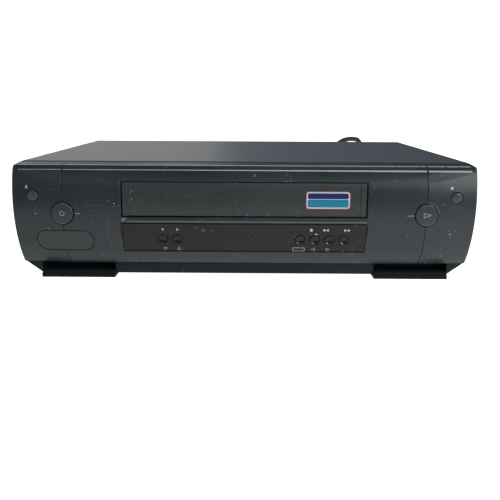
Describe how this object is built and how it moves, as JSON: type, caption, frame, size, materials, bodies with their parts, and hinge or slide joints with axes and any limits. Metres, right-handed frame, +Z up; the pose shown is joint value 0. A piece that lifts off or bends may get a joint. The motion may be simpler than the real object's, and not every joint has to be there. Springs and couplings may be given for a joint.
{
  "type": "video cassette recorder",
  "caption": "Front-loading video cassette recorder with a hinged cassette door, round push buttons, phono sockets and a coiled mains lead.",
  "frame": {"origin": "under the middle of the case, on the surface it stands on", "axes": "+X to the viewer's right, +Y from the front to the back, +Z up"},
  "size_m": [0.3622, 0.3723, 0.0984],
  "materials": {
    "badge_grey": "satin",
    "bare_aluminium": "satin",
    "belt_rubber": "matte",
    "blade_brass": "satin",
    "board_brown": "matte",
    "button_gloss": "gloss",
    "button_grey": "satin",
    "component_black": "satin",
    "cord_black": "matte",
    "cover_paint": "satin",
    "display_glass": "gloss",
    "door_black": "satin",
    "drum_aluminium": "polished",
    "ferrite_dark": "matte",
    "foot_grey": "matte",
    "foot_rubber": "matte",
    "head_chrome": "polished",
    "motor_steel": "satin",
    "panel_grey": "satin",
    "plug_black": "matte",
    "reel_black": "satin",
    "roller_rubber": "matte",
    "screw_black": "satin",
    "slider_white": "satin",
    "socket_black": "matte",
    "socket_nickel": "polished",
    "socket_red": "satin",
    "socket_white": "satin",
    "socket_yellow": "satin",
    "switch_black": "matte",
    "tinned_can": "satin",
    "tray_black": "matte",
    "window_smoke": "gloss",
    "zinc_steel": "satin"
  },
  "bodies": {
    "chassis": {"av_jack_block": "socket_black", "badge_plate": "badge_grey", "base_tray": "tray_black", "board_components": "component_black", "capstan_motor": "motor_steel", "case_screws": "screw_black", "cord_coil": "cord_black", "cord_lead": "cord_black", "deck_plate": "zinc_steel", "display_tube": "display_glass", "display_window": "window_smoke", "drive_belt": "belt_rubber", "front_board": "board_brown", "front_feet": "foot_grey", "front_panel": "panel_grey", "heat_sink": "bare_aluminium", "holder_brackets": "zinc_steel", "jack_collars": "socket_nickel", "jack_red": "socket_red", "jack_white": "socket_white", "jack_yellow": "socket_yellow", "loading_motor": "motor_steel", "lower_drum": "drum_aluminium", "main_board": "board_brown", "mains_plug": "plug_black", "plug_blades": "blade_brass", "power_board": "board_brown", "power_transformer": "ferrite_dark", "rear_feet": "foot_rubber", "rear_panel": "zinc_steel", "strain_relief": "cord_black", "tact_switches": "switch_black", "tape_heads": "head_chrome", "top_cover": "cover_paint", "tuner_module": "tinned_can"},
    "power_button": {"power_button": "button_grey"},
    "play_button": {"play_button": "button_grey"},
    "eject_button": {"eject_button": "button_grey"},
    "stop_button": {"stop_button": "button_grey"},
    "channel_down_button": {"channel_down_button": "button_gloss"},
    "channel_up_button": {"channel_up_button": "button_gloss"},
    "menu_button": {"menu_button": "button_gloss"},
    "record_button": {"record_button": "button_gloss"},
    "rewind_button": {"rewind_button": "button_gloss"},
    "fast_forward_button": {"fast_forward_button": "button_gloss"},
    "cassette_door": {"cassette_door": "door_black"},
    "holder_sliders": {"holder_sliders": "slider_white"},
    "cassette_holder": {"cassette_holder": "zinc_steel"},
    "supply_reel": {"supply_reel": "reel_black"},
    "takeup_reel": {"takeup_reel": "reel_black"},
    "upper_drum": {"upper_drum": "drum_aluminium"},
    "capstan_flywheel": {"capstan_flywheel": "motor_steel"},
    "clutch_pulley": {"clutch_pulley": "slider_white"},
    "pinch_arm": {"pinch_arm": "zinc_steel"},
    "pinch_roller": {"pinch_roller": "roller_rubber"},
    "idler_arm": {"idler_arm": "zinc_steel"},
    "idler_wheel": {"idler_wheel": "roller_rubber"},
    "cam_gear": {"cam_gear": "slider_white"},
    "loading_guide_supply": {"loading_guide_supply": "head_chrome"},
    "loading_guide_takeup": {"loading_guide_takeup": "head_chrome"}
  },
  "joints": [
    {"name": "power_press", "type": "slide", "parent": "chassis", "child": "power_button", "axis": [0, 1, 0], "range_m": [0, 0.001], "stiffness_N_per_m": 200, "springref_m": -0.001},
    {"name": "play_press", "type": "slide", "parent": "chassis", "child": "play_button", "axis": [0, 1, 0], "range_m": [0, 0.001], "stiffness_N_per_m": 200, "springref_m": -0.001},
    {"name": "eject_press", "type": "slide", "parent": "chassis", "child": "eject_button", "axis": [0, 1, 0], "range_m": [0, 0.001], "stiffness_N_per_m": 200, "springref_m": -0.001},
    {"name": "stop_press", "type": "slide", "parent": "chassis", "child": "stop_button", "axis": [0, 1, 0], "range_m": [0, 0.001], "stiffness_N_per_m": 200, "springref_m": -0.001},
    {"name": "channel_down_press", "type": "slide", "parent": "chassis", "child": "channel_down_button", "axis": [0, 1, 0], "range_m": [0, 0.001], "stiffness_N_per_m": 200, "springref_m": -0.001},
    {"name": "channel_up_press", "type": "slide", "parent": "chassis", "child": "channel_up_button", "axis": [0, 1, 0], "range_m": [0, 0.001], "stiffness_N_per_m": 200, "springref_m": -0.001},
    {"name": "menu_press", "type": "slide", "parent": "chassis", "child": "menu_button", "axis": [0, 1, 0], "range_m": [0, 0.001], "stiffness_N_per_m": 200, "springref_m": -0.001},
    {"name": "record_press", "type": "slide", "parent": "chassis", "child": "record_button", "axis": [0, 1, 0], "range_m": [0, 0.001], "stiffness_N_per_m": 200, "springref_m": -0.001},
    {"name": "rewind_press", "type": "slide", "parent": "chassis", "child": "rewind_button", "axis": [0, 1, 0], "range_m": [0, 0.001], "stiffness_N_per_m": 200, "springref_m": -0.001},
    {"name": "fast_forward_press", "type": "slide", "parent": "chassis", "child": "fast_forward_button", "axis": [0, 1, 0], "range_m": [0, 0.001], "stiffness_N_per_m": 200, "springref_m": -0.001},
    {"name": "door_swing", "type": "hinge", "parent": "chassis", "child": "cassette_door", "pos_m": [0, -0.12856, 0.0865], "axis": [1, 0, 0], "range_deg": [0, 100], "stiffness_Nm_per_rad": 0.004, "springref_deg": -85.94},
    {"name": "holder_in", "type": "slide", "parent": "chassis", "child": "holder_sliders", "axis": [0, 1, 0], "range_m": [0, 0.072]},
    {"name": "holder_down", "type": "slide", "parent": "holder_sliders", "child": "cassette_holder", "axis": [0, 0, -1], "range_m": [0, 0.0135]},
    {"name": "supply_reel_spin", "type": "hinge", "parent": "chassis", "child": "supply_reel", "pos_m": [-0.046, -0.03856, 0.0295], "axis": [0, 0, 1], "continuous": true},
    {"name": "takeup_reel_spin", "type": "hinge", "parent": "chassis", "child": "takeup_reel", "pos_m": [0.046, -0.03856, 0.0295], "axis": [0, 0, 1], "continuous": true},
    {"name": "drum_spin", "type": "hinge", "parent": "chassis", "child": "upper_drum", "pos_m": [0, 0.05644, 0.0345], "axis": [0, -0.0872, 0.9962], "continuous": true},
    {"name": "capstan_spin", "type": "hinge", "parent": "chassis", "child": "capstan_flywheel", "pos_m": [0.056, 0.03644, 0.0295], "axis": [0, 0, 1], "continuous": true},
    {"name": "clutch_spin", "type": "hinge", "parent": "chassis", "child": "clutch_pulley", "pos_m": [0, -0.06756, 0.0295], "axis": [0, 0, 1], "continuous": true},
    {"name": "idler_swing", "type": "hinge", "parent": "chassis", "child": "idler_arm", "pos_m": [0, -0.06756, 0.0295], "axis": [0, 0, 1], "range_deg": [-34.2, 34.2]},
    {"name": "idler_spin", "type": "hinge", "parent": "idler_arm", "child": "idler_wheel", "pos_m": [0, -0.04426, 0.0295], "axis": [0, 0, 1], "continuous": true},
    {"name": "cam_turn", "type": "hinge", "parent": "chassis", "child": "cam_gear", "pos_m": [-0.08, 0.05644, 0.0295], "axis": [0, 0, 1], "range_deg": [0, 180]},
    {"name": "pinch_swing", "type": "hinge", "parent": "chassis", "child": "pinch_arm", "pos_m": [0.07, 0.01044, 0.0295], "axis": [0, 0, -1], "range_deg": [0, 24]},
    {"name": "pinch_roller_spin", "type": "hinge", "parent": "pinch_arm", "child": "pinch_roller", "pos_m": [0.04612, 0.02071, 0.0295], "axis": [0, 0, 1], "continuous": true},
    {"name": "guide_supply_slide", "type": "slide", "parent": "chassis", "child": "loading_guide_supply", "axis": [-0.519, 0.8548, 0], "range_m": [0, 0.03276]},
    {"name": "guide_takeup_slide", "type": "slide", "parent": "chassis", "child": "loading_guide_takeup", "axis": [0.519, 0.8548, 0], "range_m": [0, 0.03276]}
  ],
  "couplings": [
    {"joint": "guide_supply_slide", "follows": "cam_turn", "m_per_rad": 0.010427},
    {"joint": "guide_takeup_slide", "follows": "cam_turn", "m_per_rad": 0.010427},
    {"joint": "pinch_swing", "follows": "cam_turn", "ratio": 0.13333},
    {"joint": "clutch_spin", "follows": "capstan_spin", "ratio": 2.2844},
    {"joint": "idler_spin", "follows": "capstan_spin", "ratio": -1.2184}
  ]
}
